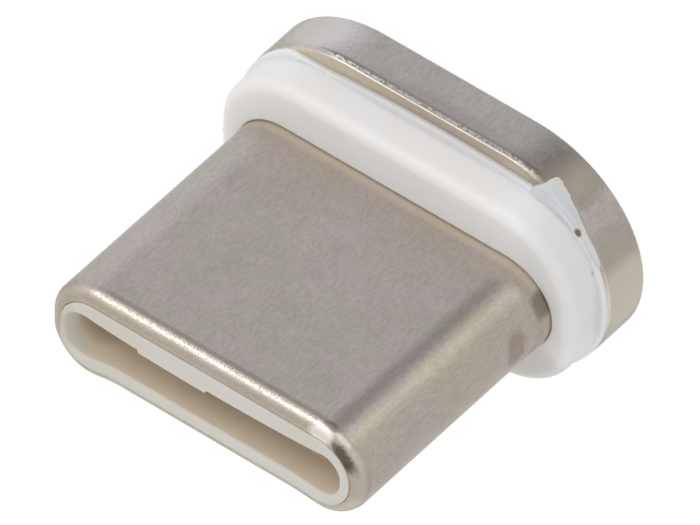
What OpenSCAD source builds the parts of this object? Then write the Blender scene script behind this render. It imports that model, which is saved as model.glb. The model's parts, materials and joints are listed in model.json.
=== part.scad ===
// Magnetic plug tip: a small reversible plug whose steel flange is held by a magnetic cable end.
// It stands on the flat rear face of the flange at z = 0, and the plug's mouth points up.
// X is the plug's wide way, Y its thin way, and Z runs along the plug.

/* [Steel flange] */
// How far the flange's ends stand out past the collar's bead
flange_side = 0.2; // [0.1:0.01:0.5]
// How far the flange's straight sides stand out past the collar's bead
flange_face = 0.5; // [0.3:0.02:0.9]
// Thickness of the flange
flange_t = 1.2; // [1.1:0.05:1.8]
// Rounding of the flange's front edge
flange_front_round = 0.1; // [0.04:0.01:0.2]
// Rounding of the flange's rear edge
flange_rear_round = 0.06; // [0.03:0.01:0.12]
// Steel left behind the step that the shell's root stands on
seat_t = 0.6; // [0.5:0.05:0.8]
// Room in the rear window past the last pin at each end
window_side = 0.48; // [0.3:0.02:0.6]
// Room in the rear window on each side of the pins
window_face = 0.33; // [0.2:0.01:0.4]

/* [White collar] */
// How far the collar's bead stands out past the plug's narrow sides
collar_side = 0.525; // [0.4:0.005:0.6]
// How far the collar's bead stands out past the plug's wide sides
collar_face = 1.14; // [1:0.02:1.3]
// Corner radius of the bead's outline
collar_corner = 1.97; // [1.6:0.01:2.1]
// Height of the whole collar above the flange
collar_h = 1.01; // [0.9:0.01:1.6]
// Rounding of the bead's front edge
collar_round = 0.28; // [0.15:0.01:0.35]
// Rounding where the bead meets its base
collar_heel_round = 0.12; // [0.05:0.01:0.16]
// Rounding where the collar meets the plug
collar_mouth_round = 0.1; // [0.05:0.01:0.16]
// How far the thin base shows past the bead's straight sides
base_edge = 0.08; // [0.04:0.01:0.16]
// Thickness of the thin base
base_t = 0.12; // [0.08:0.01:0.2]

/* [Plug shell] */
// Outer width of the plug
plug_w = 8.25; // [8.15:0.05:8.35]
// Outer thickness of the plug
plug_d = 2.4; // [2.34:0.02:2.46]
// Length of shell that stands out of the collar
plug_reach = 6.2; // [6:0.1:7.2]
// Sheet thickness of the drawn shell
shell_wall = 0.25; // [0.2:0.01:0.27]
// Outer rounding of the curled lip at the mouth
lip_round = 0.33; // [0.3:0.01:0.36]
// Diameter of the round press mark on each narrow side
mark_d = 0.52; // [0.4:0.02:0.6]
// Depth of the press marks
mark_depth = 0.03; // [0.02:0.005:0.05]
// Height of the press marks above the collar
mark_rise = 1.07; // [0.6:0.05:2]

/* [Front insulator] */
// Distance from the plug's narrow sides to the mouth
mouth_side = 0.58; // [0.55:0.005:0.65]
// Distance from the plug's wide sides to the mouth
mouth_face = 0.695; // [0.66:0.005:0.75]
// Depth of the mouth, from the front rim to its floor
cavity_depth = 4.9; // [4.6:0.05:5.1]
// How far the front rim stands proud of the shell's lip
rim_proud = 0.04; // [0.01:0.01:0.08]
// Thickness of the insulator's floor
floor_t = 0.5; // [0.3:0.05:0.8]
// Solid rim between the mouth and the contact slots
slot_bridge = 0.75; // [0.6:0.05:1]
// Width of one contact slot
slot_w = 0.32; // [0.28:0.01:0.36]
// Height of the thin land along one edge of the mouth
land_t = 0.05; // [0.02:0.01:0.08]
// Side gap between the moulded bodies and what they sit in
moulding_gap = 0.02; // [0.01:0.005:0.04]

/* [Contacts] */
// Spacing of the contact places
pitch = 0.5; // [0.48:0.01:0.52]
// Width of one contact strip
contact_w = 0.22; // [0.18:0.01:0.25]
// Thickness of the contact strip
contact_t = 0.14; // [0.1:0.01:0.15]
// Distance from the straight run to the moulding's outside
contact_back = 0.31; // [0.28:0.01:0.33]
// Skin of the moulding left outside the contact slots
slot_skin = 0.07; // [0.05:0.01:0.09]
// Distance of the bent contact point from the middle plane
touch_row = 0.36; // [0.34:0.01:0.42]
// Depth of the contact point behind the front rim
touch_depth = 1.9; // [1.7:0.05:2.2]
// Length of the turned-out tip past the contact point
tip_length = 0.55; // [0.45:0.05:0.7]
// Bend radius of the foot on the board
foot_bend = 0.15; // [0.12:0.01:0.2]

/* [Latch plate] */
// Thickness of the latch sheet
latch_t = 0.2; // [0.15:0.01:0.22]
// Width of one spring arm
latch_arm_w = 0.2; // [0.16:0.01:0.22]
// Reach of the latch nose into the mouth
latch_nose = 0.25; // [0.15:0.01:0.35]
// Depth of the latch nose behind the front rim
latch_depth = 2; // [1.8:0.05:2.4]

/* [Circuit board] */
// Thickness of the board
board_t = 0.4; // [0.3:0.05:0.5]
// Room above the board for the contact feet
foot_room = 0.34; // [0.32:0.01:0.5]
// Length of the chip resistor
chip_w = 0.6; // [0.5:0.05:0.8]

/* [Rear contacts] */
// Depth of the plastic insert below the rear face
insert_recess = 0.2; // [0.1:0.02:0.24]
// Number of rear pins
pin_count = 5; // [3:2:5]
// Spacing of the rear pins
pin_pitch = 1.25; // [1.1:0.05:1.3]
// Diameter of a pin's rear face
pin_d = 0.6; // [0.4:0.02:0.66]
// How far a pin's collar stands out round it
pin_shoulder = 0.12; // [0.06:0.01:0.15]
// How far the pins stand proud of the insert
pin_proud = 0.08; // [0.02:0.01:0.09]
// Radial gap round each pin
pin_gap = 0.01; // [0.005:0.005:0.02]

/* [Hidden] */
$fn = 64;
// Overrun that lets one cut pass clean through a face
over = 0.5;
// Bend steps of the contact strips
bend_steps = 5;

collar_w = plug_w + 2 * collar_side;
collar_d = plug_d + 2 * collar_face;
flange_w = collar_w + 2 * flange_side;
flange_d = collar_d + 2 * flange_face;
base_d = collar_d + 2 * base_edge;
collar_top = flange_t + collar_h;
base_top = flange_t + base_t;
bead_h = collar_h - base_t;
// Hole that the shell's root passes through
root_w = plug_w + 2 * moulding_gap;
root_d = plug_d + 2 * moulding_gap;
shell_top = collar_top + plug_reach;
rim_top = shell_top + rim_proud;
bore_w = plug_w - 2 * shell_wall;
bore_d = plug_d - 2 * shell_wall;
body_w = bore_w - 2 * moulding_gap;
body_d = bore_d - 2 * moulding_gap;
cavity_w = plug_w - 2 * mouth_side;
cavity_d = plug_d - 2 * mouth_face;
// Hole that the curled lip leaves open, and the ring of the insulator that shows in it
lip_hole_w = plug_w - 2 * lip_round;
lip_hole_d = plug_d - 2 * lip_round;
rim_w = lip_hole_w - 2 * moulding_gap;
rim_d = lip_hole_d - 2 * moulding_gap;
lip_under = shell_top - shell_wall;
lip_inner_round = lip_round - shell_wall;
body_top = lip_under - lip_inner_round - moulding_gap;
cavity_floor = rim_top - cavity_depth;
carrier_top = cavity_floor - floor_t;
board_top = seat_t + board_t;
split = latch_t / 2 + moulding_gap;

// Places in use, counted along the twelve places of a row
last_place = 12;
place_middle = (1 + last_place) / 2;
upper_places = [1, 4, 5, 6, 7, 9, last_place];
lower_places = [1, 4, 9, last_place];
foot_side = (last_place - place_middle) * pitch + slot_w;

// Slots behind the mouth: from inside the contact points to the moulding's skin
contact_row = body_d / 2 - contact_back;
slot_near = touch_row - contact_t / 2 - moulding_gap;
slot_far = body_d / 2 - slot_skin;

// Where the contact's foot starts, and where its arm leaves the straight run
foot_inner = 0.24;
arm_rise = 0.6;
arm_root = cavity_floor + arm_rise;
root_bend = 0.8;
touch_bend = 0.22;
touch_z = rim_top - touch_depth;
tip_inset = 0.02;
tip_row = contact_row - tip_inset;

// The land's two ends along the mouth's edge
land_from = -1.74;
land_to = 0.03;

// How far the latch arm's back stands outside the mouth's end
latch_back = 0.155;
latch_outer = cavity_w / 2 + latch_back;
latch_inner = latch_outer - latch_arm_w;
latch_foot = board_top + foot_room + moulding_gap;
// Height of the latch plate's wide foot, and the slit between its tongue and an arm
latch_foot_h = 0.5;
latch_slit = 0.43;
latch_shoulder = latch_foot + latch_foot_h;
latch_nose_z = rim_top - latch_depth;
latch_nose_flat = 0.2;
latch_ramp = 0.35;
latch_top = latch_nose_z + latch_nose_flat + latch_ramp;
// Free room past the arm's tip
latch_room = 0.3;
latch_slot_h = latch_top + latch_room - carrier_top;

chip_d = 0.28;
chip_t = 0.22;
chip_cap = 0.14;
chip_step = 0.02;
pin_rear = insert_recess - pin_proud;
pin_collar_t = 0.24;
pin_step = seat_t - pin_collar_t;
pin_edge = 0.05;
pin_collar_d = pin_d + 2 * pin_shoulder;
window_w = (pin_count - 1) * pin_pitch + pin_collar_d + 2 * window_side;
window_d = pin_collar_d + 2 * window_face;

function place_x(n) = (n - place_middle) * pitch;
function pin_x(n) = (n - (pin_count + 1) / 2) * pin_pitch;

function upper_name(n) = str("upper_contact_", n);
function lower_name(n) = str("lower_contact_", n);
function pin_name(n) = str("rear_pin_", n);

// Flat outline with two straight sides and two full round ends
module obround(w, d) {
    square([w - d, d], center = true);
    for (side = [-1, 1])
        translate([side * (w - d) / 2, 0])
            circle(d = d);
}

module obround_block(w, d, from, to) {
    translate([0, 0, from])
        linear_extrude(to - from)
            obround(w, d);
}

// What a rounding of radius r takes off a square corner
module corner_cut(r) {
    difference() {
        square(r + over);
        circle(r);
    }
}

// Half of an upright section: the outer top and bottom corners are rounded
module edge_profile(reach, h, top, bottom) {
    difference() {
        square([reach, h]);
        if (top > 0)
            translate([reach - top, h - top])
                corner_cut(top);
        if (bottom > 0)
            translate([reach - bottom, bottom])
                mirror([0, 1])
                    corner_cut(bottom);
    }
}

module whole_profile(reach, h, top, bottom) {
    edge_profile(reach, h, top, bottom);
    mirror([1, 0])
        edge_profile(reach, h, top, bottom);
}

// Plate with rounded plan corners and rounded upper and lower edges
module rounded_block(w, d, corner, h, top, bottom) {
    cx = w / 2 - corner;
    cy = d / 2 - corner;
    rotate([90, 0, 90])
        linear_extrude(2 * cx, center = true)
            whole_profile(d / 2, h, top, bottom);
    if (cy > 0)
        rotate([90, 0, 0])
            linear_extrude(2 * cy, center = true)
                whole_profile(w / 2, h, top, bottom);
    for (quarter = [0:3]) {
        sx = (quarter == 0 || quarter == 3) ? 1 : -1;
        sy = quarter < 2 ? 1 : -1;
        translate([sx * cx, sy * cy, 0])
            rotate([0, 0, 90 * quarter])
                rotate_extrude(angle = 90)
                    edge_profile(corner, h, top, bottom);
    }
}

// A flat section carried all round an obround; it is drawn outward from the outline
module obround_sweep(w, d) {
    for (side = [0, 180])
        rotate([0, 0, side]) {
            translate([(w - d) / 2, 0, 0])
                rotate([0, 0, -90])
                    rotate_extrude(angle = 180)
                        translate([d / 2, 0])
                            children();
            rotate([90, 0, 90])
                linear_extrude(w - d, center = true)
                    translate([d / 2, 0])
                        children();
        }
}

function unit(v) = v / norm(v);

// Points of the arc of radius r that rounds a path's corner between its two neighbours
function bend(before, corner, after, r) =
    let (
        u = unit(before - corner),
        v = unit(after - corner),
        half = acos(u * v) / 2,
        centre = corner + unit(u + v) * r / sin(half),
        start = corner + u * r / tan(half) - centre,
        stop = corner + v * r / tan(half) - centre,
        from = atan2(start[1], start[0]),
        turn = (atan2(stop[1], stop[0]) - from + 540) % 360 - 180
    )
    [
        for (k = [0:bend_steps])
            let (a = from + turn * k / bend_steps)
                centre + r * [cos(a), sin(a)]
    ];

// Unit step to the left of a path at its point k
function side_step(path, k) =
    let (
        before = path[max(k - 1, 0)],
        after = path[min(k + 1, len(path) - 1)],
        along = unit(after - before)
    )
    [-along[1], along[0]];

// Outline of a strip of even thickness along a path
function strip(path, t) = concat(
    [for (k = [0:len(path) - 1]) path[k] + side_step(path, k) * t / 2],
    [for (k = [len(path) - 1:-1:0]) path[k] - side_step(path, k) * t / 2]
);

// Middle line of a contact seen from the side: distance from the middle plane, then height
foot_start = [foot_inner, board_top + contact_t / 2];
foot_corner = [contact_row, board_top + contact_t / 2];
root_corner = [contact_row, arm_root];
touch_corner = [touch_row, touch_z];
tip_end = [tip_row, touch_z + tip_length];
contact_path = concat(
    [foot_start],
    bend(foot_start, foot_corner, root_corner, foot_bend),
    bend(foot_corner, root_corner, touch_corner, root_bend),
    bend(root_corner, touch_corner, tip_end, touch_bend),
    [tip_end]
);

// Steel keeper plate: an obround with a step for the shell's root and a rear window
module flange() {
    color([0.68, 0.66, 0.63])
        difference() {
            rounded_block(
                flange_w, flange_d, flange_d / 2, flange_t, flange_front_round, flange_rear_round
            );
            obround_block(window_w, window_d, -over, seat_t + over);
            obround_block(root_w, root_d, seat_t, flange_t + over);
        }
}

// Moulded collar: a round-edged bead on a thin base that runs out to the flange's ends
module collar() {
    color([0.93, 0.93, 0.92])
        difference() {
            union() {
                translate([0, 0, base_top])
                    rounded_block(
                        collar_w, collar_d, collar_corner, bead_h, collar_round, collar_heel_round
                    );
                intersection() {
                    obround_block(flange_w, flange_d, flange_t, base_top);
                    translate([-flange_w, -base_d / 2, 0])
                        cube([2 * flange_w, base_d, collar_top]);
                }
            }
            obround_block(root_w, root_d, 0, collar_top + over);
            translate([0, 0, collar_top - collar_mouth_round])
                obround_sweep(root_w, root_d)
                    difference() {
                        translate([-over, 0])
                            square([over + collar_mouth_round, over]);
                        translate([collar_mouth_round, 0])
                            circle(collar_mouth_round);
                    }
        }
}

// Drawn shell: an obround tube whose front edge curls in, pressed flat at one spot on each side
module plug_shell() {
    color([0.66, 0.63, 0.58])
        difference() {
            translate([0, 0, seat_t])
                rounded_block(plug_w, plug_d, plug_d / 2, shell_top - seat_t, lip_round, 0);
            translate([0, 0, seat_t - over])
                rounded_block(bore_w, bore_d, bore_d / 2, lip_under - seat_t + over, lip_inner_round, 0);
            obround_block(lip_hole_w, lip_hole_d, lip_under - over, shell_top + over);
            for (side = [-1, 1])
                translate([side * (plug_w / 2 - mark_depth), 0, collar_top + mark_rise])
                    rotate([0, side * 90, 0])
                        cylinder(h = over, d = mark_d);
        }
}

// Room for a row of contacts: a close hole through the floor, then a wide slot behind the mouth
module contact_slots(places) {
    hole_w = contact_w + 2 * moulding_gap;
    hole_d = contact_t + 2 * moulding_gap;
    for (n = places) {
        translate([place_x(n) - hole_w / 2, contact_row - hole_d / 2, carrier_top - over])
            cube([hole_w, hole_d, floor_t + 2 * over]);
        translate([place_x(n) - slot_w / 2, slot_near, cavity_floor])
            cube([slot_w, slot_far - slot_near, cavity_depth - slot_bridge]);
    }
}

// White moulding that fills the shell: its front rim shows as a ring inside the lip
module front_insulator() {
    color([0.9, 0.89, 0.87])
        difference() {
            union() {
                obround_block(body_w, body_d, carrier_top, body_top);
                obround_block(rim_w, rim_d, carrier_top, rim_top);
            }
            difference() {
                obround_block(cavity_w, cavity_d, cavity_floor, rim_top + over);
                translate([land_from, cavity_d / 2 - land_t, rim_top - slot_bridge])
                    cube([land_to - land_from, land_t + over, slot_bridge]);
            }
            contact_slots(upper_places);
            mirror([0, 1, 0])
                contact_slots(lower_places);
            for (side = [0, 180])
                rotate([0, 0, side])
                    translate([latch_inner - moulding_gap, -split, carrier_top - over])
                        cube([latch_arm_w + 2 * moulding_gap, 2 * split, latch_slot_h + over]);
        }
}

// One half of the block that grips the straight runs of the contacts
module carrier(places) {
    difference() {
        intersection() {
            obround_block(body_w, body_d, board_top, carrier_top);
            translate([-body_w, split, 0])
                cube([2 * body_w, body_d, rim_top]);
        }
        translate([-foot_side, -over, board_top - over])
            cube([2 * foot_side, body_d + over, foot_room + over]);
        for (n = places)
            translate([place_x(n) - contact_w / 2, contact_row - contact_t / 2, board_top])
                cube([contact_w, contact_t, carrier_top + over]);
    }
}

module upper_carrier() {
    color([0.16, 0.16, 0.17])
        carrier(upper_places);
}

module lower_carrier() {
    color([0.16, 0.16, 0.17])
        mirror([0, 1, 0])
            carrier(lower_places);
}

// One formed spring strip: a foot on the board, a straight run and a bowed arm
module contact(n) {
    translate([place_x(n), 0, 0])
        rotate([90, 0, 90])
            linear_extrude(contact_w, center = true)
                polygon(strip(contact_path, contact_t));
}

module upper_contact(n) {
    color([0.83, 0.69, 0.4])
        contact(n);
}

module lower_contact(n) {
    color([0.83, 0.69, 0.4])
        mirror([0, 1, 0])
            contact(n);
}

// Right half of the latch's outline, from the foot's corner up round the arm and its nose
latch_side = [
    [latch_outer, latch_foot],
    [latch_outer, latch_top],
    [latch_inner, latch_top],
    [latch_inner - latch_nose, latch_nose_z + latch_nose_flat],
    [latch_inner - latch_nose, latch_nose_z],
    [latch_inner, latch_nose_z - latch_ramp],
    [latch_inner, latch_shoulder],
    [latch_inner - latch_slit, latch_shoulder],
    [latch_inner - latch_slit, carrier_top]
];
latch_other_side = [for (k = [len(latch_side) - 1:-1:0]) [-latch_side[k][0], latch_side[k][1]]];

// Stamped middle plate with a spring arm along each side of the mouth
module latch_plate() {
    color([0.6, 0.6, 0.6])
        rotate([90, 0, 0])
            linear_extrude(latch_t, center = true)
                polygon(concat(latch_side, latch_other_side));
}

module circuit_board() {
    color([0.12, 0.4, 0.22])
        obround_block(body_w, body_d, seat_t, board_top);
}

// Chip on the board between the two rows of feet: a body with a raised cap on each end
module chip_resistor() {
    color([0.1, 0.1, 0.1])
        translate([0, 0, board_top]) {
            translate([-chip_w / 2, -chip_d / 2 + chip_step, 0])
                cube([chip_w, chip_d - 2 * chip_step, chip_t - chip_step]);
            for (side = [-1, 1])
                translate([side * (chip_w - chip_cap) / 2, 0, chip_t / 2])
                    cube([chip_cap, chip_d, chip_t], center = true);
        }
}

// Turned pin: a round-edged face to the rear, and a wide collar that bears on the board
module rear_pin(n) {
    color([0.85, 0.68, 0.34])
        translate([pin_x(n), 0, 0])
            rotate_extrude() {
                translate([0, pin_rear])
                    edge_profile(pin_d / 2, pin_step - pin_rear, 0, pin_edge);
                translate([0, pin_step])
                    square([pin_collar_d / 2, pin_collar_t]);
            }
}

// Insulating insert that fills the window and holds the pins
module rear_insert() {
    color([0.12, 0.12, 0.13])
        difference() {
            obround_block(window_w - 2 * moulding_gap, window_d - 2 * moulding_gap, insert_recess, seat_t);
            for (n = [1:pin_count])
                translate([pin_x(n), 0, 0]) {
                    cylinder(h = seat_t + over, r = pin_d / 2 + pin_gap);
                    translate([0, 0, pin_step])
                        cylinder(h = seat_t, r = pin_collar_d / 2 + pin_gap);
                }
        }
}

flange();
collar();
plug_shell();
front_insulator();
upper_carrier();
lower_carrier();
latch_plate();
circuit_board();
chip_resistor();
rear_insert();
for (n = upper_places)
    upper_contact(n);
for (n = lower_places)
    lower_contact(n);
for (n = [1:pin_count])
    rear_pin(n);
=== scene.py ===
# %% [markdown]
# # A magnetic plug tip
#
# The tip is a small reversible plug with a white moulded collar and a thick oval steel flange.
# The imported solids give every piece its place. This lesson dresses them: it rebuilds the four
# pieces that show with finer roundings, and gives each surface a finish made of nodes.

# %% Load the frame
import json
import math

import bmesh
import bpy
from mathutils import Matrix, Vector


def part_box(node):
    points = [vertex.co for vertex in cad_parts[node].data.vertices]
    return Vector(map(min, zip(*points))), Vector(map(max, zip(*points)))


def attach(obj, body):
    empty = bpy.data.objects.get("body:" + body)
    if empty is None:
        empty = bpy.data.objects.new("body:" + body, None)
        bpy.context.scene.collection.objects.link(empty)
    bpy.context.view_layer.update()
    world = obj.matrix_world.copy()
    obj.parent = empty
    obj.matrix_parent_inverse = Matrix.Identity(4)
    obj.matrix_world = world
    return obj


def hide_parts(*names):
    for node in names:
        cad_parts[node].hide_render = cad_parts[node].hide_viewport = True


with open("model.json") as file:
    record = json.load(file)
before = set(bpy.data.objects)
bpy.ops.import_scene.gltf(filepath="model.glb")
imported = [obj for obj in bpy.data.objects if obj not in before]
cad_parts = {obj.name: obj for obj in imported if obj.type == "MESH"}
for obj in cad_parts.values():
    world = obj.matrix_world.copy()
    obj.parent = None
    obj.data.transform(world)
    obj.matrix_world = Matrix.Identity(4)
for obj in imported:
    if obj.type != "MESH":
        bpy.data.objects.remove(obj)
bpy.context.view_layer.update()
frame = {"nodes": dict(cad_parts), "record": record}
MM = 0.001

# %% [markdown]
# ## Sizes
#
# The frame already knows how large each piece is, so the main sizes are read from it.
# The rest are the roundings and walls that a drawing of such a plug would give, in metres.

# %% Sizes from the frame
def extent(node):
    """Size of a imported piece, and the heights of its foot and its top."""
    low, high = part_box(node)
    return high - low, low.z, high.z


FLANGE, _, FLANGE_TOP = extent("flange")
COLLAR, _, COLLAR_TOP = extent("collar")
SHELL, SEAT_TOP, SHELL_TOP = extent("plug_shell")
_, INSULATOR_FOOT, RIM_TOP = extent("front_insulator")
WINDOW, _, _ = extent("rear_insert")
print("shell reach in mm:", round((SHELL_TOP - COLLAR_TOP) / MM, 3))

# %% Sizes of the details
GAP = 0.02 * MM
SHELL_WALL = 0.25 * MM
LIP_ROUND = 0.33 * MM
MOUTH_WIDTH = 7.09 * MM
MOUTH_DEPTH = 1.01 * MM
MOUTH_FLOOR = RIM_TOP - 4.9 * MM
BEAD_WIDTH = 9.3 * MM
BEAD_DEPTH = 4.68 * MM
BEAD_CORNER = 1.97 * MM
BASE_THICK = 0.12 * MM
BASE_HALF = COLLAR.y / 2
print("mouth depth in mm:", round((RIM_TOP - MOUTH_FLOOR) / MM, 3))

# %% [markdown]
# ## The camera
#
# A long lens far away keeps the plug's long edges almost parallel, as in a product picture.
# The plug stands on its flange here, while the picture shows it lying over, so the camera is
# rolled: the thin way of the plug points up in the frame.

# %% Place the camera
VIEW_RIGHT = Vector((0.78071, 0.00608, -0.62487))
VIEW_DOWN = Vector((0.45325, -0.69388, 0.55954))
VIEW_DEPTH = Vector((-0.43019, -0.72006, -0.54447))
CAMERA_DISTANCE = 500 * MM
LENS = 1250.8
SENSOR = 36
AIM_HEIGHT = 4.95 * MM
AIM_RIGHT = 0.8133 * MM
AIM_UP = 0.9274 * MM
LOOK_AT = Vector((0, 0, AIM_HEIGHT)) + AIM_RIGHT * VIEW_RIGHT - AIM_UP * VIEW_DOWN


def place_camera():
    """A camera that looks along VIEW_DEPTH, with VIEW_DOWN towards the bottom of the frame."""
    lens = bpy.data.cameras.new("camera")
    lens.sensor_fit = "HORIZONTAL"
    lens.sensor_width = SENSOR
    lens.lens = LENS
    lens.clip_start = 0.05
    lens.clip_end = 5
    camera = bpy.data.objects.new("camera", lens)
    turn = Matrix((VIEW_RIGHT, -VIEW_DOWN, -VIEW_DEPTH)).transposed()
    camera.matrix_world = Matrix.Translation(LOOK_AT - CAMERA_DISTANCE * VIEW_DEPTH) @ turn.to_4x4()
    bpy.context.scene.collection.objects.link(camera)
    bpy.context.scene.camera = camera


place_camera()
print("camera looks at", [round(c / MM, 2) for c in LOOK_AT])

# %% [markdown]
# ## Shader sums
#
# Finishes are easier to read as sums than as chains of nodes. A small class wraps a socket, so
# that adding, subtracting or multiplying two values makes the Math node behind the scenes.

# %% A value that can be used in sums
class Value:
    """A shader value. Sums on it add Math nodes to its tree."""

    def __init__(self, tree, socket):
        self.tree = tree
        self.socket = socket

    def math(self, operation, first, second):
        node = self.tree.nodes.new("ShaderNodeMath")
        node.operation = operation
        for slot, term in zip(node.inputs, (first, second)):
            if isinstance(term, Value):
                self.tree.links.new(term.socket, slot)
            else:
                slot.default_value = term
        return Value(self.tree, node.outputs[0])

    def __add__(self, other):
        return self.math("ADD", self, other)

    def __radd__(self, other):
        return self.math("ADD", other, self)

    def __sub__(self, other):
        return self.math("SUBTRACT", self, other)

    def __rsub__(self, other):
        return self.math("SUBTRACT", other, self)

    def __mul__(self, other):
        return self.math("MULTIPLY", self, other)

    def __rmul__(self, other):
        return self.math("MULTIPLY", other, self)


# %% [markdown]
# Every other node comes from one method. It takes the node's type, the settings that change its
# sockets, and then the values or links for those sockets. Object coordinates are turned into
# millimetres once, so that a pattern's scale reads as marks per millimetre.

# %% A builder for one finish
class Finish:
    """One node tree, for a surface or for the surroundings."""

    def __init__(self, tree):
        self.tree = tree
        tree.nodes.clear()

    def node(self, kind, settings=None, values=None, out=0):
        node = self.tree.nodes.new(kind)
        for name, setting in (settings or {}).items():
            setattr(node, name, setting)
        for name, value in (values or {}).items():
            slot = node.inputs[name]
            if isinstance(value, Value):
                self.tree.links.new(value.socket, slot)
            else:
                slot.default_value = value
        return Value(self.tree, node.outputs[out]) if len(node.outputs) else None

    def place(self, stretch=(1, 1, 1), turn=(0, 0, 0), shift=(0, 0, 0)):
        """Place on the piece in millimetres, stretched, turned and shifted for a pattern."""
        coords = self.node("ShaderNodeTexCoord", out="Object")
        scale = tuple(s / MM for s in stretch)
        return self.node("ShaderNodeMapping", {"vector_type": "POINT"},
                         {"Vector": coords, "Location": shift, "Rotation": turn, "Scale": scale})

    def axes(self, vector):
        split = self.node("ShaderNodeSeparateXYZ", values={"Vector": vector})
        outputs = split.socket.node.outputs
        return [Value(self.tree, outputs[k]) for k in range(3)]

    def cloud(self, scale, detail=2.0, rough=0.5, where=None, warp=0.0):
        """Soft noise from 0 to 1, with scale marks to a millimetre."""
        return self.node("ShaderNodeTexNoise", {"noise_dimensions": "3D"},
                         {"Vector": where or self.place(), "Scale": scale, "Detail": detail,
                          "Roughness": rough, "Distortion": warp}, out="Fac")

    def step(self, value, low, high):
        """0 below low, 1 above high and a smooth rise between."""
        return self.node("ShaderNodeMapRange", {"interpolation_type": "SMOOTHSTEP"},
                         {"Value": value, "From Min": low, "From Max": high, "To Min": 0.0, "To Max": 1.0})

    def mix(self, mask, plain, marked):
        """Colour that goes from plain to marked as the mask goes from 0 to 1."""
        return self.node("ShaderNodeMix", {"data_type": "RGBA", "clamp_factor": True},
                         {0: mask, 6: plain, 7: marked}, out=2)

    def bump(self, height, strength, distance, below=None):
        values = {"Height": height, "Strength": strength, "Distance": distance}
        if below:
            values["Normal"] = below
        return self.node("ShaderNodeBump", values=values)

    def surface(self, **values):
        """The finish itself: names are the shader's own, with _ for a space."""
        named = {name.replace("_", " "): value for name, value in values.items()}
        shader = self.node("ShaderNodeBsdfPrincipled", values=named)
        self.node("ShaderNodeOutputMaterial", values={"Surface": shader})


def rgb(red, green, blue):
    """A screen colour, 0 to 255, as the linear colour that shaders use."""
    def linear(channel):
        c = channel / 255
        return c / 12.92 if c <= 0.04045 else ((c + 0.055) / 1.055) ** 2.4
    return (linear(red), linear(green), linear(blue), 1.0)


def new_finish(name):
    material = bpy.data.materials.new(name)
    material.use_nodes = True
    return material, Finish(material.node_tree)


# %% [markdown]
# ## Plated nickel
#
# The shell and the flange are steel with a satin nickel plate. Up close such a plate is not one
# grey: it drifts between a pinkish and a greenish grey in patches a millimetre wide, has a fine
# grain that makes highlights sparkle, and faint lines from drawing the sheet.
#
# Wear, painted highlights and painted shade are laid over that in two ways. A mark is an ellipsoid
# in space with a torn edge: whatever surface passes through it takes its tone. A band is a strip
# between two heights, for painted highlights, painted dark lines and painted reflections along edges.

# %% Marks and bands
def spot(f, centre, radii, soft=0.35, turn=0.0, ragged=0.9):
    """1 inside a soft-edged, more or less ragged ellipsoid on the piece, in millimetres, 0 outside it."""
    where = f.node("ShaderNodeMapping", {"vector_type": "TEXTURE"},
                   {"Vector": f.place(), "Location": centre, "Rotation": (0, 0, math.radians(turn)),
                    "Scale": radii})
    torn = f.cloud(11.0, 4.0, 0.65) - 0.5
    away = f.node("ShaderNodeVectorMath", {"operation": "LENGTH"}, {0: where}, out="Value")
    return 1 - f.step(away + ragged * torn, 1 - soft, 1 + soft)


def paint_marks(f, colour, marks, ragged):
    """Lays marks of (centre, radii, turn, tone, strength) over a colour: wear, painted highlights and
    painted shade.
    """
    for centre, radii, turn, tone, strength in marks:
        colour = f.mix(spot(f, centre, radii, turn=turn, ragged=ragged) * strength, colour, tone)
    return colour


def band(f, heights, reach):
    """1 on a slightly wavy strip between two heights and between two places across the piece."""
    across, _, height = f.axes(f.place())
    low, high = heights
    soft = (high - low) / 4
    height = height + 0.025 * (f.cloud(3.0, 3.0, 0.6) - 0.5)
    rise = f.step(height, low - soft, low + soft) * (1 - f.step(height, high - soft, high + soft))
    start, stop = reach
    return rise * f.step(across, start - 0.1, start + 0.4) * (1 - f.step(across, stop - 0.3, stop + 0.1))


# %% Nickel finish
DARKEN = 0.84
GRAIN_TONE = (0.05, 0.045, 0.04, 1.0)
SPECK_SHADOW = rgb(118, 108, 100)


def nickel(name, pink, green, patch_scale, speck_scale, marks, bands):
    """Satin nickel: two greys in soft patches, a fine grain, bands of painted highlight, shade and
    reflection along its edges, and marks.
    """
    material, f = new_finish(name)
    patches = f.step(f.cloud(patch_scale, 3.0, 0.6, warp=0.6), 0.36, 0.64)
    colour = f.mix(patches, pink, green)
    shade = f.cloud(2.0 * patch_scale, 4.0, 0.62, where=f.place(shift=(7, 3, 1)))
    darker = tuple(DARKEN * c for c in pink[:3]) + (1.0,)
    colour = f.mix(f.step(shade, 0.35, 0.85) * 0.5, colour, darker)
    brushed = f.cloud(16.0, 3.0, 0.65, where=f.place(stretch=(1, 1, 0.35), turn=(0.15, 0.25, 0)))
    fine = f.cloud(24.0, 2.0, 0.7)
    grain = 0.6 * brushed + 0.4 * fine
    colour = f.mix(f.step(grain, 0.38, 0.62) * 0.16, colour, GRAIN_TONE)
    roughness = 0.25 + 0.12 * shade
    specks = f.step(f.cloud(speck_scale, 2.0, 0.6, where=f.place(shift=(2, 5, 9))), 0.37, 0.57)
    relief = 7.0e-6
    # The bands paint highlights, dark lines and reflections; a speckled band breaks its painted highlight
    # into sparkles with painted shade between them.
    for heights, reach, tone, strength, speckled in bands:
        here = band(f, heights, reach)
        if speckled:
            colour = f.mix(here * (1 - specks) * (0.8 * strength), colour, SPECK_SHADOW)
            relief = relief + 5.0e-6 * here
            here = here * specks
        colour = f.mix(here * strength, colour, tone)
    colour = paint_marks(f, colour, marks, ragged=0.9)
    normal = f.bump(grain, 0.8, relief)
    f.surface(Base_Color=colour, Metallic=1.0, Roughness=roughness, Normal=normal)
    return material
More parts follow.
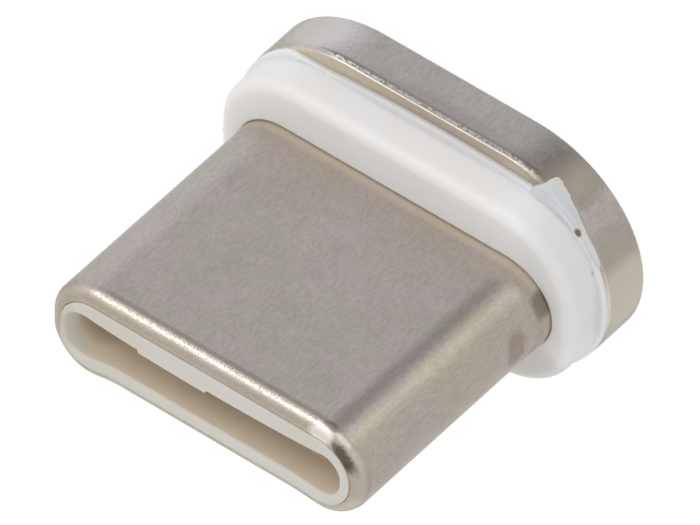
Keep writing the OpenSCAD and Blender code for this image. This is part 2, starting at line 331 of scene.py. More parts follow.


# %% [markdown]
# The tip has been used: its lip has a dark smudge at one corner and dark scuffs along its lower
# edge, a darker tone lies over the press mark, and there is a dark patch beside the collar. The
# rest is painted light. Painted highlights sit at that corner, round the smudge, beside the scuffs
# and in a speckled line along the lip and along the flange's front edge, with painted dark lines
# beside them. Painted shade darkens the lip's ends, its lower edge and parts of the flange, and
# painted reflections lighten the shell at the collar and tint the flange's front face beige. Each
# mark is a centre, radii, a turn in degrees, a tone and a strength, and each band is two heights,
# two places across, a tone, a strength and whether it is speckled. All places are in millimetres.

# %% Wear, painted highlights and painted shade on the shell
LIP = SHELL_TOP / MM
COLLAR_FRONT = COLLAR_TOP / MM
# The tone of the painted highlights: the speckled line along the lip and the thin line on the flange's
# front edge.
PAINTED_HIGHLIGHT = rgb(255, 248, 236)
# The tone of the painted shade: dark lines beside the painted highlights on the lip and the flange.
PAINTED_EDGE_SHADE = rgb(118, 107, 98)
SHELL_MARKS = (
    # painted highlight: a bright patch at the lip's corner
    ((3.02, 1.00, LIP - 0.06), (0.28, 0.24, 0.2), 0, rgb(252, 247, 240), 0.85),
    # a dark smudge at the same corner, in two parts
    ((3.634, 0.684, LIP - 0.04), (0.42, 0.14, 0.2), 134, rgb(88, 84, 74), 0.92),
    ((3.76, 0.50, LIP - 0.02), (0.16, 0.08, 0.2), 120, rgb(96, 74, 72), 0.7),
    # painted highlight: a thin bright line round the smudge
    ((3.47, 1.04, LIP - 0.16), (0.26, 0.035, 0.1), 152, rgb(250, 242, 226), 0.5),
    # painted shade: a dark spot in front of the corner's highlight
    ((3.13, 1.15, LIP - 0.24), (0.22, 0.10, 0.09), 0, rgb(112, 100, 90), 0.6),
    # painted shade at both ends of the lip
    ((4.00, 0.10, LIP - 0.08), (0.35, 0.45, 0.25), 0, rgb(172, 162, 152), 0.6),
    ((-3.90, 0.40, LIP - 0.10), (0.50, 0.75, 0.35), 0, rgb(172, 162, 150), 0.6),
    # a darker tone over the press mark, and a dark patch beside the collar
    ((4.10, 0.16, COLLAR_FRONT + 1.08), (0.30, 0.42, 0.28), 0, rgb(156, 143, 132), 0.75),
    ((4.05, 0.62, COLLAR_FRONT + 0.14), (0.34, 0.32, 0.24), 0, rgb(124, 114, 101), 0.7),
    # painted shade along the lower lip
    ((0.0, -1.20, LIP - 0.05), (4.00, 0.25, 0.35), 0, rgb(158, 153, 144), 0.6),
    # dark scuffs on the lower lip
    ((-0.05, -1.13, LIP - 0.05), (0.09, 0.09, 0.09), 0, rgb(84, 78, 70), 0.85),
    ((0.42, -1.13, LIP - 0.05), (0.16, 0.09, 0.09), 0, rgb(84, 78, 70), 0.8),
    # painted highlights beside the scuffs
    ((0.17, -1.08, LIP - 0.02), (0.11, 0.06, 0.06), 0, rgb(236, 228, 208), 0.7),
    ((-0.36, -1.08, LIP - 0.02), (0.15, 0.06, 0.06), 0, rgb(236, 228, 208), 0.6),
)
SHELL_BANDS = (
    # a painted speckled highlight along the lip
    ((LIP - 0.235, LIP - 0.095), (-3.1, 3.0), PAINTED_HIGHLIGHT, 0.44, True),
    # a painted dark line along the lip's crest
    ((LIP - 0.36, LIP - 0.25), (-3.0, 3.1), PAINTED_EDGE_SHADE, 0.36, False),
    # a painted reflection of the white collar on the shell's root
    ((COLLAR_FRONT - 0.2, COLLAR_FRONT + 0.20), (-9, 9), rgb(240, 228, 205), 0.42, False),
)
print("shell:", len(SHELL_MARKS), "marks,", len(SHELL_BANDS), "bands")

# %% Painted highlights, painted shade and a lighter tone on the flange
FLANGE_FRONT = FLANGE_TOP / MM
# The tone of the painted highlight that sparkles on the flange's rolled edge.
PAINTED_SPARKLE = rgb(255, 252, 244)
FLANGE_MARKS = (
    # painted shade that dims the side's highlight
    ((3.35, 2.47, 0.60), (0.75, 0.55, 0.9), 0, rgb(156, 147, 138), 0.8),
    # painted highlight on the round end
    ((4.82, 0.10, 0.60), (0.30, 1.00, 0.9), 0, rgb(230, 222, 206), 0.55),
    # painted shade at the right end
    ((4.55, 1.30, 0.60), (0.50, 0.5, 0.8), 0, rgb(172, 164, 152), 0.45),
    # a lighter, pinker tone on the left of the side
    ((-3.30, 2.50, 0.45), (0.90, 0.7, 0.7), 0, rgb(226, 216, 211), 0.8),
    # painted shadow along the side's top, under the collar's plate
    ((0.6, 2.84, 1.05), (2.2, 0.4, 0.30), 0, rgb(172, 162, 156), 0.5),
)
FLANGE_BANDS = (
    # painted reflection that gives the flange's front face its beige
    ((FLANGE_FRONT - 0.030, FLANGE_FRONT + 0.030), (-9, 9), rgb(224, 211, 182), 0.5, False),
    # a thin painted highlight just below the front face
    ((FLANGE_FRONT - 0.042, FLANGE_FRONT - 0.012), (-2.7, 3.0), PAINTED_HIGHLIGHT, 0.5, False),
    # a painted speckled highlight on the rolled edge
    ((FLANGE_FRONT - 0.130, FLANGE_FRONT - 0.055), (-2.7, 3.0), PAINTED_SPARKLE, 1.0, True),
    # a painted dark line below the roll
    ((FLANGE_FRONT - 0.190, FLANGE_FRONT - 0.120), (-3.0, 3.1), PAINTED_EDGE_SHADE, 0.6, False),
)
print("flange:", len(FLANGE_MARKS), "marks,", len(FLANGE_BANDS), "bands")

# %% The two nickels
SHELL_FINISH = nickel("shell_nickel", rgb(202, 191, 183), rgb(199, 191, 175), 0.55, 26.0,
                      SHELL_MARKS, SHELL_BANDS)
FLANGE_FINISH = nickel("flange_nickel", rgb(204, 194, 189), rgb(197, 190, 177), 0.7, 13.0,
                       FLANGE_MARKS, FLANGE_BANDS)
print("nickels:", SHELL_FINISH.name, FLANGE_FINISH.name)

# %% [markdown]
# ## White mouldings
#
# The collar is a glossy white moulding with a touch of blue, and the ring in the mouth a matter,
# warmer one. Both let a little light in under the skin, which softens their edges. Inside the
# mouth the ring's colour turns tan just behind the front, and a little deeper at its left end.
# Painted shade darkens the collar's right end, its lower left and the edge of its plate, and the
# ring's left end.

# %% Moulded plastics
LEFT_END = (3.05, 3.35)
TINT_DEEP = 0.16
TINT_DEEPER = (0.28, 0.18)
SCATTER = (0.4 * MM, 0.34 * MM, 0.28 * MM)
PLASTIC_IOR = 1.5


def moulding(name, light, warm, gloss, depth, grain, inside=None, marks=()):
    """White plastic: slow drift between two whites, a faint skin texture, light under the skin."""
    material, f = new_finish(name)
    drift = f.step(f.cloud(0.5, 2.0, 0.5), 0.35, 0.65)
    colour = f.mix(drift, light, warm)
    if inside:
        across, _, height = f.axes(f.place())
        end = f.step(-1 * across, *LEFT_END)
        start, stop = TINT_DEEPER[0] * end, TINT_DEEP + TINT_DEEPER[1] * end
        colour = f.mix(f.step(RIM_TOP / MM - height, start, stop), colour, inside)
    colour = paint_marks(f, colour, marks, ragged=0.25)
    skin = f.cloud(14.0, 3.0, 0.55)
    waves = f.cloud(1.6, 2.0, 0.5)
    roughness = gloss + 0.12 * waves
    normal = f.bump(skin + 3.0 * waves, grain, 1.5e-6)
    f.surface(Base_Color=colour, Roughness=roughness, Normal=normal, Subsurface_Weight=depth,
              Subsurface_Radius=SCATTER, Subsurface_Scale=1.0, IOR=PLASTIC_IOR)
    return material


# %% Marks and painted shade on the mouldings
CREAM = rgb(236, 226, 200)
# A dark tone for two small flecks on the plate near the flash.
DARK_FLECK = rgb(104, 86, 66)
COLLAR_MARKS = (
    # painted shade over the collar's right end
    ((4.60, 1.00, 1.60), (1.50, 2.10, 1.50), 0, rgb(214, 214, 215), 0.6),
    # cream and dark flecks on the flash and the plate at the right end
    ((3.24, 2.60, 0.90), (0.26, 0.14, 0.075), 153, CREAM, 0.9),
    ((4.17, 1.88, 1.16), (0.20, 0.12, 0.11), 130, CREAM, 0.9),
    ((4.08, 1.92, 1.24), (0.10, 0.055, 0.14), 130, DARK_FLECK, 0.95),
    ((4.51, 1.07, 1.25), (0.12, 0.018, 0.12), 112, DARK_FLECK, 0.8),
    # painted shade on the collar's lower left
    ((3.40, -1.70, 2.15), (1.30, 0.90, 0.75), 0, rgb(182, 181, 181), 0.55),
    # painted shade along the plate's edge on the upper side
    ((0.0, 2.55, 1.28), (3.40, 0.22, 0.16), 0, rgb(208, 207, 209), 0.6),
)
RIM_FRONT = RIM_TOP / MM
RIM_MARKS = (
    # painted shade at the ring's left end, on its front and deeper in the mouth
    ((-3.66, 0.0, RIM_FRONT), (0.30, 0.80, 0.15), 0, rgb(186, 182, 174), 0.4),
    ((-3.20, 0.0, RIM_FRONT - 0.75), (0.55, 0.80, 0.40), 0, rgb(192, 176, 152), 0.9),
)
COLLAR_FINISH = moulding("white_collar", rgb(233, 233, 235), rgb(232, 230, 229), 0.40, 0.4, 0.3,
                         marks=COLLAR_MARKS)
RIM_FINISH = moulding("rim_white", rgb(206, 203, 198), rgb(203, 199, 189), 0.5, 0.35, 0.3,
                      inside=rgb(216, 202, 181), marks=RIM_MARKS)
print("mouldings:", COLLAR_FINISH.name, RIM_FINISH.name)

# %% [markdown]
# ## Inner finishes
#
# Behind the mouth lie black carriers, gold contact strips, a steel latch and a green board.
# They are hardly seen, but each still gets its grain.

# %% Plain inner finishes
def inner(name, first, second, scale, roughness, metal, grain):
    """A finish of two close colours with a fine grain."""
    material, f = new_finish(name)
    marks = f.cloud(scale, 3.0, 0.6)
    colour = f.mix(f.step(marks, 0.3, 0.7), first, second)
    normal = f.bump(f.cloud(4 * scale, 2.0, 0.5), grain, 1.5e-6)
    f.surface(Base_Color=colour, Roughness=roughness + 0.15 * marks, Metallic=metal, Normal=normal)
    return material


INNER_FINISHES = {
    "black_moulding": inner("black_moulding", rgb(38, 38, 40), rgb(48, 47, 47), 6.0, 0.45, 0.0, 0.4),
    "latch_steel": inner("latch_steel", rgb(176, 174, 170), rgb(160, 157, 152), 5.0, 0.25, 1.0, 0.3),
    "board": inner("board", rgb(26, 92, 52), rgb(20, 78, 44), 4.0, 0.35, 0.0, 0.3),
    "contact_gold": inner("contact_gold", rgb(226, 190, 118), rgb(214, 172, 96), 5.0, 0.22, 1.0, 0.3),
}
print("inner finishes:", sorted(INNER_FINISHES))

# %% [markdown]
# ## Outlines and walls
#
# Every piece of the tip is a stack of rounded rectangles: the plug and the flange have full
# round ends, the collar has smaller corners. One vertex spun round each corner in turn draws
# the first outline of a piece. Each next outline is extruded from the last and reshaped, point
# by point, about its own corner centres, so the walls between them never twist.

# %% Rounded rectangles
CORNER_STEPS = 24
END_STRAIGHT = 0.02 * MM
CUT_EASE = 0.05 * MM


class Oval:
    """A rounded rectangle across the plug. Without a corner size its ends are round.

    A cut-off, where there is one, holds it softly to that distance from the middle plane.
    """

    def __init__(self, width, depth, corner=None, cut_off=None):
        self.corner = corner or (depth - END_STRAIGHT) / 2
        self.across = width / 2 - self.corner
        self.along = depth / 2 - self.corner
        self.cut_off = cut_off

    def grown(self, by):
        cut_off = self.cut_off and self.cut_off + by
        return Oval(2 * (self.across + self.corner + by), 2 * (self.along + self.corner + by),
                    self.corner + by, cut_off)

    def centre(self, sx, sy, height):
        return Vector((sx * self.across, sy * self.along, height))

    def point(self, ray, height):
        """Place of the point that lies along a ray from its own corner centre."""
        place = self.centre(math.copysign(1, ray.x), math.copysign(1, ray.y), height) + self.corner * ray
        if self.cut_off:
            beyond = CUT_EASE * math.log(1 + math.exp((abs(place.y) - self.cut_off) / CUT_EASE))
            place.y -= math.copysign(beyond, place.y)
        return place


print("points round an outline:", 4 * (CORNER_STEPS + 1))

# %% [markdown]
# A stack is a list of outlines with their heights. Its corners can be rounded by adding outlines
# on a small arc, and a finished wall can be given more rows of points by cutting it with planes.

# %% Walls between outlines
WELD = 1e-8
ON_PLANE = 1e-9


def draw(bm, oval, height):
    """Spins the first outline of a stack and returns its edges. Each point keeps its own ray."""
    rays = bm.verts.layers.float_vector.new("ray")
    start = Vector((oval.across + oval.corner, oval.along, height))
    first = vert = bmesh.ops.create_vert(bm, co=start)["vert"][0]
    left, back = Vector((-2 * oval.across, 0, 0)), Vector((0, -2 * oval.along, 0))
    corners = (((1, 1), left), ((-1, 1), back), ((-1, -1), -left), ((1, -1), None))
    for (sx, sy), travel in corners:
        spun = bmesh.ops.spin(bm, geom=[vert], cent=oval.centre(sx, sy, height), axis=(0, 0, 1),
                              angle=math.pi / 2, steps=CORNER_STEPS)
        vert = next(g for g in spun["geom_last"] if isinstance(g, bmesh.types.BMVert))
        if travel:
            moved = bmesh.ops.extrude_vert_indiv(bm, verts=[vert])["verts"]
            bmesh.ops.translate(bm, verts=moved, vec=travel)
            vert = moved[0]
    bm.edges.new((vert, first))
    for v in bm.verts:
        centre = oval.centre(math.copysign(1, v.co.x), math.copysign(1, v.co.y), height)
        v[rays] = (v.co - centre).normalized()
        keep_side = Vector((math.copysign(1e-6, v.co.x), math.copysign(1e-6, v.co.y), 0))
        v[rays] += keep_side
        v.co = oval.point(v[rays], height)
    return bm.edges[:]


def carry(bm, edges, new, height):
    """Extrudes an outline and reshapes the new copy of it."""
    rays = bm.verts.layers.float_vector["ray"]
    made = bmesh.ops.extrude_edge_only(bm, edges=edges)["geom"]
    verts = {g for g in made if isinstance(g, bmesh.types.BMVert)}
    for v in verts:
        v.co = new.point(v[rays], height)
    return [g for g in made if isinstance(g, bmesh.types.BMEdge) and set(g.verts) <= verts]


def rounding(oval, height, radius, start, stop, steps=8):
    """Outlines round an edge, about the given line. At 0 degrees they face outwards, at 90 forwards."""
    stack = []
    for k in range(steps + 1):
        angle = math.radians(start + (stop - start) * k / steps)
        stack.append((oval.grown(radius * math.cos(angle)), height + radius * math.sin(angle)))
    return stack


def wall(bm, stack, closed=True):
    """Skins a stack of outlines. A closed stack comes back to its first; an open one gets two ends."""
    edges = first = draw(bm, *stack[0])
    for oval, height in stack[1:] + (stack[:1] if closed else []):
        edges = carry(bm, edges, oval, height)
    if not closed:
        bmesh.ops.edgeloop_fill(bm, edges=first)
        bmesh.ops.edgeloop_fill(bm, edges=edges)
    bmesh.ops.remove_doubles(bm, verts=bm.verts, dist=WELD)


def cut(bm, place, normal):
    """Adds a row of points where a plane crosses the mesh."""
    everything = bm.verts[:] + bm.edges[:] + bm.faces[:]
    bmesh.ops.bisect_plane(bm, geom=everything, dist=ON_PLANE, plane_co=place, plane_no=normal)


# %% [markdown]
# ## From mesh to piece
#
# A finished mesh is welded and its faces are turned outwards: a closed mesh whose faces look
# inwards has a negative volume. It then becomes an object that rides on the tip's one body. True
# corners are marked sharp, and face-weighted normals keep the flat faces flat where a narrow
# rounding runs into them. Both matter on metal, where a bent normal shows at once.

# %% Finish a piece
SHARP_FROM = 40


def make_piece(bm, name, material, node):
    """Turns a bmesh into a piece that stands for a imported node."""
    bmesh.ops.remove_doubles(bm, verts=bm.verts, dist=WELD)
    bmesh.ops.recalc_face_normals(bm, faces=bm.faces)
    if bm.calc_volume(signed=True) < 0:
        bmesh.ops.reverse_faces(bm, faces=bm.faces)
    mesh = bpy.data.meshes.new(name)
    bm.to_mesh(mesh)
    bm.free()
    mesh.materials.append(material)
    mesh.shade_smooth()
    mesh.set_sharp_from_angle(angle=math.radians(SHARP_FROM))
    piece = bpy.data.objects.new(name, mesh)
    bpy.context.scene.collection.objects.link(piece)
    weighted = piece.modifiers.new("weighted", "WEIGHTED_NORMAL")
    weighted.keep_sharp = True
    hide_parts(node)
    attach(piece, "root")
    print(name, "faces:", len(mesh.polygons))


# %% [markdown]
# ## The drawn shell
#
# The shell is one drawn cup of thin steel whose front edge is curled in over the insulator. The
# section runs up the outside, round the curl, into the hole in the lip and back down the inside.
# A punch left a small flat on each narrow side, which holds the insulator in. Rows of points are
# cut in round that flat, and the points inside its oval are pressed back to one plane.

# %% Press marks on the narrow sides
OUTER = Oval(SHELL.x, SHELL.y)
MARK_HEIGHT = COLLAR_TOP + 1.10 * MM
MARK_OFF_MIDDLE = 0.12 * MM
MARK_RADIUS = 0.29 * MM
MARK_LONGER = 1.3
MARK_DEPTH = 0.03 * MM
MARK_ROWS = 24
ROWS_REACH = 1.2 * MARK_RADIUS


def press_mark(bm, side):
    """Flattens an oval on one narrow side."""
    for k in range(MARK_ROWS + 1):
        height = MARK_HEIGHT + ROWS_REACH * (2 * k / MARK_ROWS - 1)
        cut(bm, (0, 0, height), (0, 0, 1))
    flat = SHELL.x / 2 - MARK_DEPTH
    for v in bm.verts:
        away = math.hypot((v.co.y - MARK_OFF_MIDDLE) / MARK_LONGER, v.co.z - MARK_HEIGHT)
        if side * v.co.x > SHELL.x / 2 - SHELL_WALL and away < MARK_RADIUS:
            v.co.x = side * min(side * v.co.x, flat)


print("press mark height over the collar in mm:", round((MARK_HEIGHT - COLLAR_TOP) / MM, 3))

# %% [markdown]
# Knocks have spread the lip a little at its two lower corners, and the insulator behind it as
# well. Both pieces get the same rows of points and the same push, so they stay in step. The push
# fades out along the lip, down the plug and towards the upper half.

# %% Knocked corners
KNOCK_DEEP = 0.8 * MM
KNOCK_ROWS = 5
KNOCK_BELOW = 0.5 * MM
KNOCK_CUTS = (0.55, 0.75, 0.95)
KNOCKS = ((-3.4 * MM, 1.1 * MM, 0.15 * MM), (3.1 * MM, 0.9 * MM, 0.06 * MM))


def ease(t):
    """A smooth rise from 0 to 1 as t goes from 0 to 1."""
    t = min(max(t, 0), 1)
    return t * t * (3 - 2 * t)


def knock(bm):
    """Spreads the lip's lower corners outwards. A knock is a place across, its reach and its push."""
    for k in range(KNOCK_ROWS):
        cut(bm, (0, 0, SHELL_TOP - KNOCK_DEEP * (1 - k / (KNOCK_ROWS + 2))), (0, 0, 1))
    for place, reach, push in KNOCKS:
        for k in KNOCK_CUTS:
            cut(bm, (place - math.copysign(k * reach, place), 0, 0), (1, 0, 0))
        for v in bm.verts:
            middle = Vector((max(min(v.co.x, OUTER.across), -OUTER.across), 0, v.co.z))
            share = ease(1 - abs(v.co.x - place) / reach) * ease(1 - (SHELL_TOP - v.co.z) / KNOCK_DEEP)
            share *= ease(-v.co.y / KNOCK_BELOW)
            v.co += push * share * (v.co - middle).normalized()


print("largest push in mm:", max(push for _, _, push in KNOCKS) / MM)

# %% Plug shell
LIP_EDGE = 0.02 * MM


def build_shell():
    bm = bmesh.new()
    curl = LIP_ROUND - LIP_EDGE
    core = OUTER.grown(-curl)
    bore = OUTER.grown(-SHELL_WALL)
    lip_under = SHELL_TOP - SHELL_WALL
    section = [(OUTER, SEAT_TOP)]
    section += rounding(core, SHELL_TOP - curl, curl, 0, 90, 14)
    section += rounding(core, SHELL_TOP - LIP_EDGE, LIP_EDGE, 110, 180, 3)
    section += [(OUTER.grown(-LIP_ROUND), lip_under), (bore, lip_under), (bore, SEAT_TOP)]
    wall(bm, section)
    knock(bm)
    for side in (-1, 1):
        press_mark(bm, side)
    make_piece(bm, "shell", SHELL_FINISH, "plug_shell")


build_shell()

# %% [markdown]
# ## The insulator
#
# A white moulding fills the shell, and its front rim shows as a ring round the mouth. Its edges
# are softened like any moulding's. As it cooled, the thin bridge over the mouth sank a little in
# the middle, and a thin land stands on it. One end of the mouth has a deeper lead-in. Rows of
# points are cut across the mouth, and the front part of its walls is moved by those amounts.

# %% Front insulator
BRIDGE = 0.75 * MM
SINK = 0.13 * MM
SINK_HALF = 3.2 * MM
LOWER_SHIFT = 0.05 * MM
LAND = (-1.74 * MM, 0.03 * MM)
LAND_THICK = 0.08 * MM
LAND_SLOPE = 0.015 * MM
MOUTH_SOFT = 0.07 * MM
RIM_SOFT = 0.03 * MM
FRONT_ROW = 0.36 * MM
LEAD_WIDE = 0.17 * MM
LEAD_DEEP = 0.30 * MM


def bridge_shift(x):
    """How far the bridge's edge stands down into the mouth at a place across the plug."""
    shift = SINK * max(1 - (x / SINK_HALF) ** 2, 0) ** 0.7
    return shift + (LAND_THICK if LAND[0] < x < LAND[1] else 0)


def build_insulator():
    bm = bmesh.new()
    body = OUTER.grown(-SHELL_WALL - GAP)
    rim = OUTER.grown(-LIP_ROUND - GAP / 4)
    mouth = Oval(MOUTH_WIDTH, MOUTH_DEPTH)
    body_top = SHELL_TOP - SHELL_WALL - GAP
    section = [(body, INSULATOR_FOOT), (body, body_top), (rim, body_top)]
    section += rounding(rim.grown(-RIM_SOFT), RIM_TOP - RIM_SOFT, RIM_SOFT, 0, 90, 4)
    section += rounding(mouth.grown(MOUTH_SOFT), RIM_TOP - MOUTH_SOFT, MOUTH_SOFT, 90, 180, 6)
    section += [(mouth, RIM_TOP - depth) for depth in (LEAD_DEEP, BRIDGE, BRIDGE + MOUTH_SOFT)]
    section += [(mouth, MOUTH_FLOOR)]
    wall(bm, section, closed=False)
    rows = [FRONT_ROW * k for k in range(-8, 9)]
    rows += [x + side * LAND_SLOPE for x in LAND for side in (-1, 1)]
    for x in rows:
        cut(bm, (x, 0, 0), (1, 0, 0))
    reach = mouth.corner + 1.5 * MOUTH_SOFT
    for v in bm.verts:
        away = math.hypot(max(abs(v.co.x) - mouth.across, 0), v.co.y)
        if away < reach and v.co.z > RIM_TOP - BRIDGE - MOUTH_SOFT / 2:
            lean = v.co.y / (MOUTH_DEPTH / 2)
            v.co.y -= lean * bridge_shift(v.co.x) if lean > 0 else -lean * LOWER_SHIFT
            toward_end = min(max(-v.co.x - mouth.across, 0) / mouth.corner, 1)
            v.co.x -= LEAD_WIDE * toward_end * max(1 - (RIM_TOP - v.co.z) / LEAD_DEEP, 0)
    knock(bm)
    make_piece(bm, "insulator", RIM_FINISH, "front_insulator")


build_insulator()

# %% [markdown]
# ## The collar
#
# The collar was moulded round the shell in one shot: a thin base plate and a fat round-edged
# bead on it. One section, carried round, makes both. The plate follows the flange's round ends
# and is held nearly straight along both sides, where it swells a little in the middle. A small
# fillet joins it to the bead. The mould closed on the middle plane, and left a fine ridge round
# both ends of the bead.

# %% Collar
HOLE = OUTER.grown(GAP / 4)
BEAD = Oval(BEAD_WIDTH, BEAD_DEPTH, BEAD_CORNER)
PLATE = Oval(FLANGE.x - GAP, FLANGE.y - GAP, cut_off=BASE_HALF)
BEAD_FRONT_ROUND = 0.28 * MM
BEAD_MOUTH_ROUND = 0.06 * MM
PLATE_ROUND = 0.05 * MM
FILLET = 0.03 * MM
PLATE_SWELL = 0.14 * MM
SWELL_MIDDLE = 0.4 * MM
SWELL_HALF = 3.0 * MM
SIDE_ROW = 0.42 * MM
RIDGE_HALF = 0.045 * MM
RIDGE_RISE = 0.022 * MM
RIDGE_OFF_HOLE = 0.1 * MM


def build_collar():
    bm = bmesh.new()
    base_top = FLANGE_TOP + BASE_THICK
    r, lip = BEAD_FRONT_ROUND, BEAD_MOUTH_ROUND
    section = [(PLATE, FLANGE_TOP)]
    section += rounding(PLATE.grown(-PLATE_ROUND), base_top - PLATE_ROUND, PLATE_ROUND, 0, 80, 5)
    section += rounding(BEAD.grown(FILLET), base_top + FILLET, FILLET, 270, 180, 4)
    section += rounding(BEAD.grown(-r), COLLAR_TOP - r, r, 0, 90, 10)
    section += rounding(HOLE.grown(lip), COLLAR_TOP - lip, lip, 90, 180, 5)
    section += [(HOLE, FLANGE_TOP)]
    wall(bm, section)
    for place in (-RIDGE_HALF, 0, RIDGE_HALF):
        cut(bm, (0, place, 0), (0, 1, 0))
    for k in range(-7, 8):
        cut(bm, (SIDE_ROW * k, 0, 0), (1, 0, 0))
    ridge_from = HOLE.across + HOLE.corner + RIDGE_OFF_HOLE
    for v in bm.verts:
        if abs(v.co.y) > BEAD_DEPTH / 2 - FILLET and v.co.z < base_top - 10 * WELD:
            swell = PLATE_SWELL * max(1 - ((v.co.x - SWELL_MIDDLE) / SWELL_HALF) ** 2, 0)
            v.co.y += math.copysign(swell, v.co.y)
        if abs(v.co.y) < ON_PLANE and abs(v.co.x) > ridge_from and v.co.z > base_top:
            v.co.x += math.copysign(RIDGE_RISE, v.co.x)
    make_piece(bm, "collar_moulding", COLLAR_FINISH, "collar")


build_collar()

# %% [markdown]
# ## Flash at one corner
#
# The plastic crept past the mould at one corner of the plate and set as a thin tongue over the
# flange's edge. It starts as a flat sheet of points. Each point is laid on the flange by its
# angle round the flange's end and its way down over the edge, and the tongue's reach down the
# side grows fast at one end and dies out slowly at the other.

# %% Flash tongue
FLASH_FROM, FLASH_TO = 24, 70
FLASH_REACH = 0.36 * MM
FLASH_SKIN = 0.03 * MM
FLASH_WIDE = 0.50 * MM
ON_TOP = 0.6
RISE_FROM, RISE_OVER = 69.4, 4
FADE_FROM, FADE_OVER = 34, 29
SIDE_END = (65, 5, 0.22 * MM)
ROUND_END = (31, 7, 0.07 * MM)


def reach_at(angle):
    """How far the tongue comes down the flange's side at an angle round its end, in degrees."""
    rise = ease((RISE_FROM - angle) / RISE_OVER)
    fade = min(max((angle - FADE_FROM) / FADE_OVER, 0), 1) ** 1.4
    ripple = 1 + 0.04 * math.sin(0.9 * angle) + 0.03 * math.sin(2.1 * angle + 1)
    return FLASH_REACH * rise * fade * ripple


def drawn_in(angle):
    """How far the tongue's edge draws in from the flange's edge towards its two ends."""
    start, over, by = SIDE_END
    drawn = by * max((angle - start) / over, 0) ** 2
    start, over, by = ROUND_END
    return drawn + by * max((start - angle) / over, 0) ** 2


def lay_on_flange(across, down):
    """Place for a point of the sheet; both numbers run from 0 to 1."""
    angle = FLASH_FROM + (FLASH_TO - FLASH_FROM) * across
    rim = Oval(FLANGE.x, FLANGE.y)
    turn = math.radians(90 * min(down / ON_TOP, 1))
    inner = rim.corner - FLASH_WIDE
    outer = rim.corner + FLASH_SKIN - drawn_in(angle)
    radius = inner + (outer - inner) * math.sin(turn) ** 0.8
    height = FLANGE_TOP - FLASH_SKIN + (BASE_THICK + FLASH_SKIN) * math.cos(turn) ** 0.7
    height -= FLASH_SKIN * max(1 - down / 0.1, 0)
    height -= max(reach_at(angle) - FLASH_SKIN, 0) * max(down - ON_TOP, 0) / (1 - ON_TOP)
    angle = math.radians(angle)
    return Vector((rim.across + radius * math.cos(angle), radius * math.sin(angle), height))


def build_flash():
    bm = bmesh.new()
    bmesh.ops.create_grid(bm, x_segments=60, y_segments=20, size=0.5)
    for v in bm.verts:
        v.co = lay_on_flange(v.co.x + 0.5, v.co.y + 0.5)
    bmesh.ops.recalc_face_normals(bm, faces=bm.faces)
    bmesh.ops.solidify(bm, geom=bm.faces[:], thickness=FLASH_SKIN)
    make_piece(bm, "collar_flash", COLLAR_FINISH, "collar")


build_flash()

# %% [markdown]
# ## The flange
#
# The flange is a thick oval steel plate. A step in its front takes the shell's root, and a
# window in the flat rear face shows the pins. It is stamped, and the punch drew its front edge
# down in a narrow roll, which is wider round the ends than along the sides.

# %% Flange
ROLL_DEEP = 0.12 * MM
ROLL_SIDE = 0.04 * MM
ROLL_END = 0.17 * MM
REAR_ROUND = 0.06 * MM


def rolled(angle):
    """An outline on the rolled edge: at 0 degrees on the flange's side, at 90 on its front."""
    turn = math.radians(angle)
    give = 1 - math.cos(turn)
    outline = Oval(FLANGE.x - 2 * ROLL_END * give, FLANGE.y - 2 * ROLL_SIDE * give)
    return outline, FLANGE_TOP - ROLL_DEEP * (1 - math.sin(turn))


def build_flange():
    bm = bmesh.new()
    window = Oval(WINDOW.x + 2 * GAP, WINDOW.y + 2 * GAP)
    root = OUTER.grown(GAP)
    section = [(window, 0)]
    section += rounding(Oval(FLANGE.x, FLANGE.y).grown(-REAR_ROUND), REAR_ROUND, REAR_ROUND, -90, 0, 5)
    section += [rolled(10 * k) for k in range(10)]
    section += [(root, FLANGE_TOP), (root, SEAT_TOP), (window, SEAT_TOP)]
    wall(bm, section)
    make_piece(bm, "flange_plate", FLANGE_FINISH, "flange")


build_flange()

# %% [markdown]
# ## The inner pieces
#
# The carriers, strips, latch, board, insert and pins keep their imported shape. Each takes the
# finish of its material slot.

# %% Finish the inner pieces
def finish_inner():
    count = 0
    for part in frame["record"]["subparts"]:
        finish = INNER_FINISHES.get(part["material_slot"])
        if finish is None:
            continue
        for slot in frame["nodes"][part["node"]].material_slots:
            slot.material = finish
            count += 1
    return count


print("inner pieces finished:", finish_inner())

# %% [markdown]
# ## Floor and light
#
# The tip stands on a white sweep in even light. Metal shows whatever surrounds it, so the world
# is built from a plain white and a few soft areas that are a little darker or brighter, like
# the cards and boxes of a small studio. Each card is a direction, the two cosines between which
# it fades in, and a colour.

# %% Surroundings
def towards(f, direction, axis):
    """How far a world direction points along an axis, -1 to 1."""
    return f.node("ShaderNodeVectorMath", {"operation": "DOT_PRODUCT"},
                  {0: direction, 1: Vector(axis).normalized()}, out="Value")


SURROUND = (0.97, 0.97, 0.97, 1)
CARDS = (
    ((0, 0, -1), -0.10, 0.30, (0.74, 0.74, 0.74, 1)),
    ((-0.29, 0.79, -0.54), 0.80, 0.95, (0.60, 0.61, 0.64, 1)),
    ((-0.06, 0.84, -0.54), 0.965, 0.996, (0.30, 0.30, 0.33, 1)),
    ((0.47, 0.70, -0.54), 0.968, 0.992, (1.15, 1.19, 1.08, 1)),
    ((-0.73, 0.42, -0.54), 0.85, 0.97, (0.82, 0.85, 0.92, 1)),
    ((-0.43, -0.15, 0.89), 0.80, 0.97, (0.74, 0.73, 0.68, 1)),
    ((-0.43, -0.72, 0.54), 0.88, 0.98, (0.90, 0.88, 0.76, 1)),
)


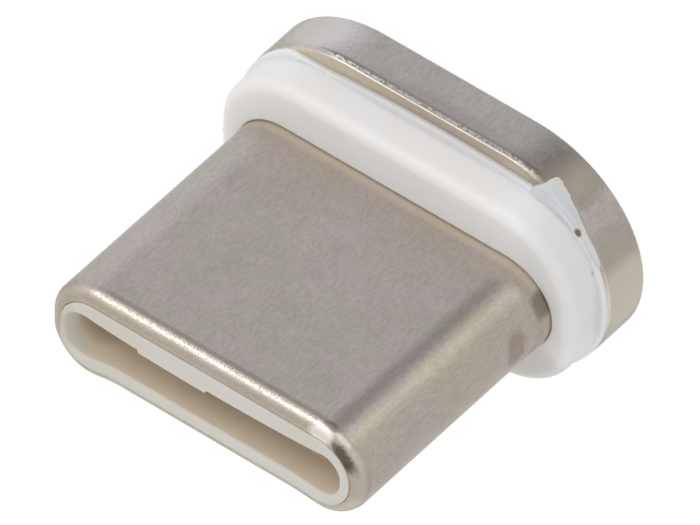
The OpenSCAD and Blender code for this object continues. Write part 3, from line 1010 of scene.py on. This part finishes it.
def light_world():
    """A white surround with soft cards in it; the camera itself sees plain white."""
    world = bpy.data.worlds.new("studio")
    world.use_nodes = True
    bpy.context.scene.world = world
    f = Finish(world.node_tree)
    direction = f.node("ShaderNodeTexCoord", out="Generated")
    colour = SURROUND
    for axis, low, high, card in CARDS:
        colour = f.mix(f.step(towards(f, direction, axis), low, high), colour, card)
    seen = f.node("ShaderNodeLightPath", out="Is Camera Ray")
    colour = f.mix(seen, colour, (1, 1, 1, 1))
    background = f.node("ShaderNodeBackground", values={"Color": colour, "Strength": 1.0})
    f.node("ShaderNodeOutputWorld", values={"Surface": background})


light_world()
print("cards round the tip:", len(CARDS))

# %% Key lamp
LAMP_AIM = Vector((0, 0, 5 * MM))


def lamp(name, axis, distance, width, height, radiance, colour):
    """A soft box that faces the plug from the given direction."""
    data = bpy.data.lights.new(name, "AREA")
    data.shape = "RECTANGLE"
    data.size = width
    data.size_y = height
    data.energy = radiance * math.pi * width * height
    data.color = colour
    item = bpy.data.objects.new(name, data)
    bpy.context.scene.collection.objects.link(item)
    axis = Vector(axis).normalized()
    side = Vector((1, 0, 0)) - axis.x * axis
    side.normalize()
    turn = Matrix((side, axis.cross(side), axis)).transposed()
    item.matrix_world = Matrix.Translation(LAMP_AIM + distance * axis) @ turn.to_4x4()
    print(name, "watts:", round(data.energy, 4))


lamp("key_lamp", axis=(-0.40, 0.79, 0.46), distance=100 * MM, width=50 * MM, height=30 * MM,
     radiance=2.2, colour=(1.0, 0.96, 0.90))

# %% Floor
FLOOR_RADIUS = 600 * MM
OWN_WHITE = 0.9
OWN_GLOW = 1.04
PAPER = (0.9, 0.9, 0.9, 1)


def lay_floor():
    """A wide white floor. To the camera it is mostly its own white, so it stays white but keeps a shadow.

    It lies a hair below the tip, and is clear from underneath, so that the rear face can be seen.
    """
    bm = bmesh.new()
    bmesh.ops.create_circle(bm, cap_ends=True, segments=64, radius=FLOOR_RADIUS)
    bmesh.ops.translate(bm, verts=bm.verts, vec=(0, 0, -GAP))
    mesh = bpy.data.meshes.new("floor")
    bm.to_mesh(mesh)
    bm.free()
    floor = bpy.data.objects.new("floor", mesh)
    bpy.context.scene.collection.objects.link(floor)
    material, f = new_finish("floor_white")
    paper = f.node("ShaderNodeBsdfDiffuse", values={"Color": PAPER})
    glow = f.node("ShaderNodeEmission", values={"Color": (1, 1, 1, 1), "Strength": OWN_GLOW})
    seen = f.node("ShaderNodeLightPath", out="Is Camera Ray")
    white = f.node("ShaderNodeMixShader", values={0: seen * OWN_WHITE, 1: paper, 2: glow})
    clear = f.node("ShaderNodeBsdfTransparent")
    underneath = f.node("ShaderNodeNewGeometry", out="Backfacing")
    shader = f.node("ShaderNodeMixShader", values={0: underneath, 1: white, 2: clear})
    f.node("ShaderNodeOutputMaterial", values={"Surface": shader})
    mesh.materials.append(material)
    floor.visible_glossy = False
    print("floor radius in mm:", FLOOR_RADIUS / MM)


lay_floor()
bpy.context.scene.view_settings.view_transform = "Standard"
